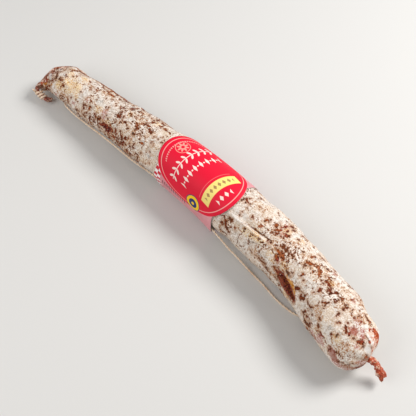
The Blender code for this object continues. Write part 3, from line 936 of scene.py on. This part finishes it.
def tail_finish(name, light, dark):
    finish = Finish(name)
    patch = finish.noise(2.5, 3, 0.6, offset=0.2)
    grain = finish.noise(0.8, 3, 0.6)
    colour = finish.patches(grain, 0.3, light, dark)
    colour = finish.mix(patch.above(0.56, 0.1), colour, (228, 196, 172))
    return finish.paint(
        Base_Color=colour, Roughness=0.45, Normal=finish.bump(grain, 0.3, 0.6), Subsurface_Weight=0.1
    )


# Label


def stretched_over(tight, distance, away):
    """How far out paper runs that is pulled from a round body over twine at a distance."""
    room = TWINE / 2 + GAP + TWINE_PLAY
    slope = np.arccos((tight - room) / distance)
    top = np.arctan2(room * np.sin(slope), distance + room * np.cos(slope))
    line = np.where(away < slope, tight / np.cos(np.minimum(slope - away, slope)), 0)
    across = np.maximum(room**2 - (distance * np.sin(away)) ** 2, 0)
    return np.where(away < top, distance * np.cos(away) + np.sqrt(across), line)


def band_end(angles, radius, side):
    """Where the paper ends at each angle: the panel's round end, or else the band's straight one."""
    askew = BAND_SKEW[0] * np.cos(angles - math.radians(BAND_SKEW[1]))
    tilt = BAND_SKEW[0] / radius
    straight = BAND_ENDS[side]
    reach = np.zeros_like(angles)
    # The oval's reach and its tilt depend on each other, and settle in a few rounds.
    for settling in range(6):
        across = radius * (angles - math.radians(BAND_MIDDLE[1])) - tilt * reach
        oval = np.maximum(1 - (across / PANEL_REACH[1]) ** 2, 0)
        reach = math.copysign(PANEL_REACH[0], straight) * np.sqrt(oval)
    outermost = np.minimum if side == 0 else np.maximum
    return BAND_MIDDLE[0] + askew + outermost(straight, reach)


def label_surface():
    """The paper's outside and inside by station and angle, and the print's own u and v, in mm."""
    skin_line = even_curve(SKIN, LINE_STEPS, spacing=RING_CROWDING)
    twine = even_curve(TWINE_ROUTE, LINE_STEPS)
    middle_radius = np.interp(BAND_MIDDLE[0], skin_line[:, 0], skin_line[:, 3]) + GAP + BAND_SLACK
    first = math.radians(BAND_MIDDLE[1]) - math.pi
    angles = first + np.linspace(0, TURN, BAND_SIDES, endpoint=False)
    left, right = (band_end(angles, middle_radius, side) for side in (0, 1))
    share = np.linspace(0, 1, BAND_STATIONS)[:, None]
    x = left + (right - left) * share
    y, z, radius = (np.interp(x, skin_line[:, 0], skin_line[:, k]) for k in (1, 2, 3))
    tight = radius + GAP + BAND_SLACK
    stretch = tight.copy()
    turning = int(np.argmax(twine[:, 0]))
    for leg in (twine[: turning + 1], twine[turning:][::-1]):
        off_y = np.interp(x, leg[:, 0], leg[:, 1]) - y
        off_z = np.interp(x, leg[:, 0], leg[:, 2]) - z
        away = np.abs((angles - np.arctan2(off_z, off_y) + math.pi) % TURN - math.pi)
        stretch = np.maximum(stretch, stretched_over(tight, np.hypot(off_y, off_z), away))
    sheets = []
    for extra in (PAPER, 0):
        lowest = BAND_FLOOR if extra else BAND_FLOOR + PAPER
        level = y + (stretch + extra) * np.cos(angles)
        height = np.maximum(z + (stretch + extra) * np.sin(angles), lowest)
        sheets.append(np.stack([x, level, height], -1))
    turned = angles - math.radians(BAND_MIDDLE[1])
    u = x - BAND_MIDDLE[0] - BAND_SKEW[0] * np.cos(angles - math.radians(BAND_SKEW[1]))
    v = middle_radius * turned - BAND_SKEW[0] / middle_radius * u
    return sheets, u, v


# The print. Its u runs along the sausage and its v round it, in millimetres from the middle of the panel.
CREAM = (252, 226, 214)
YELLOW = (252, 204, 24)
CHECK_START = -23.7
CHECK_SIZE = 2.6
STRIP_CORNER = (-18.5, 13.0)
RULE_PITCH = 1.9
RULES_MIDDLE = (-6.0, 27.5)
BORDER = 0.915
STITCH_RING = 0.8
STITCH_TURN = 0.06
ROW_RISE = 0.012
LEAF_ROW = -12.6
LOZENGE_ROW = -3.4
ROW_PITCH = 4.2
ROSETTE_MIDDLE = (-20.6, -1.5)
PETALS = 8
BANNER_ROW = 14.8
BANNER_RISE = 0.0165
BANNER_MIDDLE = -0.8
SEAL_MIDDLE = (9.9, 19.6)
# The u and v of the paper's inside, far from all print.
UNPRINTED = 500.0


def repeated(run, pitch):
    """Millimetres from the middle of each repeat of a motif."""
    return ((run / pitch).maths("FRACT") - 0.5) * pitch


def near(run, middle, reach, softness=0.2):
    """1 where a run lies within reach of a middle, and 0 beyond."""
    return abs(run - middle).below(reach, softness)


def outness(across, over, size=(1, 1)):
    """The square of how far out a place lies, where an oval of a size has 1 all round."""
    return (across / size[0]) ** 2 + (over / size[1]) ** 2


def lozenge(across, over, size, softness=0.2):
    """1 inside a lozenge of a size, and 0 outside it."""
    return (abs(across) / size[0] + abs(over) / size[1]).below(1.0, softness)


def strip_and_rules(u, v):
    """A checked strip and a row of short rules, off the panel."""
    check = ((u - CHECK_START) / CHECK_SIZE).maths("FLOOR") + (v / CHECK_SIZE).maths("FLOOR")
    squares = abs(check).maths("MODULO", 2.0).above(0.5, 0.02)
    strip = u.below(STRIP_CORNER[0], 0.1) * v.above(STRIP_CORNER[1], 0.2)
    rules = near(repeated(u, RULE_PITCH), 0, 0.4)
    rules = rules * near(v, RULES_MIDDLE[1], 2.2, 0.3) * near(u, RULES_MIDDLE[0], 10.5, 0.3)
    return (strip, (250, 240, 238)), (strip * squares, (206, 40, 52)), (rules * 0.9, (92, 44, 56))


def panel(u, v):
    """The oval panel with its border, and a row of stitches along its left end."""
    out = outness(u, v, PANEL_REACH).maths("SQRT")
    stitches = near(repeated(v.maths("ARCTAN2", u), STITCH_TURN), 0, 0.018, 0.008)
    stitches = stitches * near(out, STITCH_RING, 0.016, 0.01) * u.below(-8.0, 0.2) * v.below(12.0, 0.2)
    border = near(out, BORDER, 0.009, 0.008)
    return (
        (out.below(1.0, 0.015), (230, 12, 50)), (border, (250, 170, 162)), (stitches * 0.7, (250, 190, 180)),
    )


def rows(u, v):
    """A row of leaves and a row of lozenges on low arches, where the panel is widest."""
    arch = v * v * ROW_RISE
    run = repeated(v, ROW_PITCH)
    row = u - LEAF_ROW - arch
    leaves = outness(run - abs(row) * 0.45, abs(row) - 1.75, (0.72, 1.5)).below(1.0, 0.25)
    leaves = leaves.maths("MAXIMUM", near(row, 0, 0.28, 0.15))
    row = u - LOZENGE_ROW - arch
    beads = outness(repeated(v + ROW_PITCH / 2, ROW_PITCH), row, (0.55, 0.55)).below(1.0, 0.4)
    lozenges = lozenge(run, row, (1.0, 2.8), 0.12).maths("MAXIMUM", beads)
    return (leaves * near(v, 0, 16.8), CREAM), (lozenges * near(v, 0, 14.7), CREAM)


def rosette(u, v):
    """A plain rosette in a thin ring, near the panel's left end."""
    across, over = v - ROSETTE_MIDDLE[1], u - ROSETTE_MIDDLE[0]
    distance = outness(across, over).maths("SQRT")
    waves = (over.maths("ARCTAN2", across) * PETALS).maths("COSINE")
    petals = (distance - waves * 0.9).below(2.9, 0.3) * distance.above(1.1, 0.3)
    return [((petals + near(distance, 4.5, 0.22)) * 0.75, (250, 178, 160))]


def banner(u, v):
    """A thin rule over the banner, the banner with small lozenges, and three lozenges under it."""
    arch = u - BANNER_ROW - v * v * BANNER_RISE
    run = v - BANNER_MIDDLE
    rule = near(arch, -5.2, 0.22) * near(v, 0, 12.0, 0.3) * 0.7
    ground = near(arch, 0, 3.3, 0.25) * near(run, 0, 12.9, 0.25)
    small = lozenge(repeated(run, 3.0), arch, (1.05, 1.7)) * near(run, 0, 10.4)
    three = lozenge(repeated(v, 3.6), arch - 8.0, (1.2, 2.0)) * near(v, 0, 5.4)
    return (rule, (246, 120, 118)), (ground, (250, 226, 130)), (small, (178, 138, 84)), (three, CREAM)


def seal(u, v):
    """A round seal across the panel's near edge."""
    distance = outness(u - SEAL_MIDDLE[0], v - SEAL_MIDDLE[1]).maths("SQRT")
    ring, middle = near(distance, 4.2, 0.95), distance.below(1.1, 0.25)
    return (distance.below(5.7, 0.25), (34, 52, 110)), (ring, YELLOW), (middle, YELLOW)


def label_finish():
    finish = Finish("printed_paper")
    u, v = finish.stored("print_u"), finish.stored("print_v")
    grain = finish.noise(2.0, 3)
    clouds = finish.noise(14, 2, offset=0.3)
    colour = finish.patches(clouds, 0.5, (230, 160, 164), (216, 142, 148))
    for motifs in (strip_and_rules, panel, rows, rosette, banner, seal):
        colour = finish.layered(colour, *motifs(u, v))
    colour = finish.mix(u.above(UNPRINTED / 5, 1.0), colour, (206, 198, 192))
    return finish.paint(
        Base_Color=colour, Roughness=0.55, Specular_IOR_Level=0.25, Normal=finish.bump(grain, 0.2, 0.12)
    )


def make_label():
    material = label_finish()
    (outside, inside), u, v = label_surface()
    rings = np.concatenate([outside, inside[::-1]])
    faces = ring_faces(len(rings), BAND_SIDES, joined=True)
    label = new_mesh("paper_band", rings.reshape(-1, 3), faces, material)
    hidden = np.full_like(u, UNPRINTED)
    store(label, "print_u", np.concatenate([u, hidden]))
    store(label, "print_v", np.concatenate([v, hidden]))
    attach(label, "root")
    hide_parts("paper_label")


# Studio


FLOOR_REACH = 2500
WORLD_STRENGTH = 0.38
# Each light's name, place, size and power.
LIGHTS = (("key", (260, 520, 620), 350, 6.4), ("fill", (-200, -500, 500), 600, 2.0))


def make_studio():
    scene = bpy.context.scene
    scene.view_settings.view_transform = "Standard"
    finish = Finish("pale_floor")
    corners = [(x * FLOOR_REACH, y * FLOOR_REACH, 0) for x, y in ((-1, -1), (1, -1), (1, 1), (-1, 1))]
    material = finish.paint(Base_Color=(214, 212, 208), Roughness=0.9)
    floor = new_mesh("floor", corners, [(0, 1, 2, 3)], material)
    world = bpy.data.worlds.new("studio")
    world.use_nodes = True
    background = world.node_tree.nodes["Background"].inputs
    background["Color"].default_value = (0.98, 0.98, 1, 1)
    background["Strength"].default_value = WORLD_STRENGTH
    scene.world = world
    for name, spot, size, power in LIGHTS:
        data = bpy.data.lights.new(name, "AREA")
        data.shape = "DISK"
        data.size = size * MM
        data.energy = power
        light = bpy.data.objects.new(name, data)
        scene.collection.objects.link(light)
        place = Vector(spot) * MM
        light.location = place
        light.rotation_euler = (-place).to_track_quat("-Z", "Y").to_euler()


studio_camera()
make_twine()
make_sausage()
make_label()
make_studio()
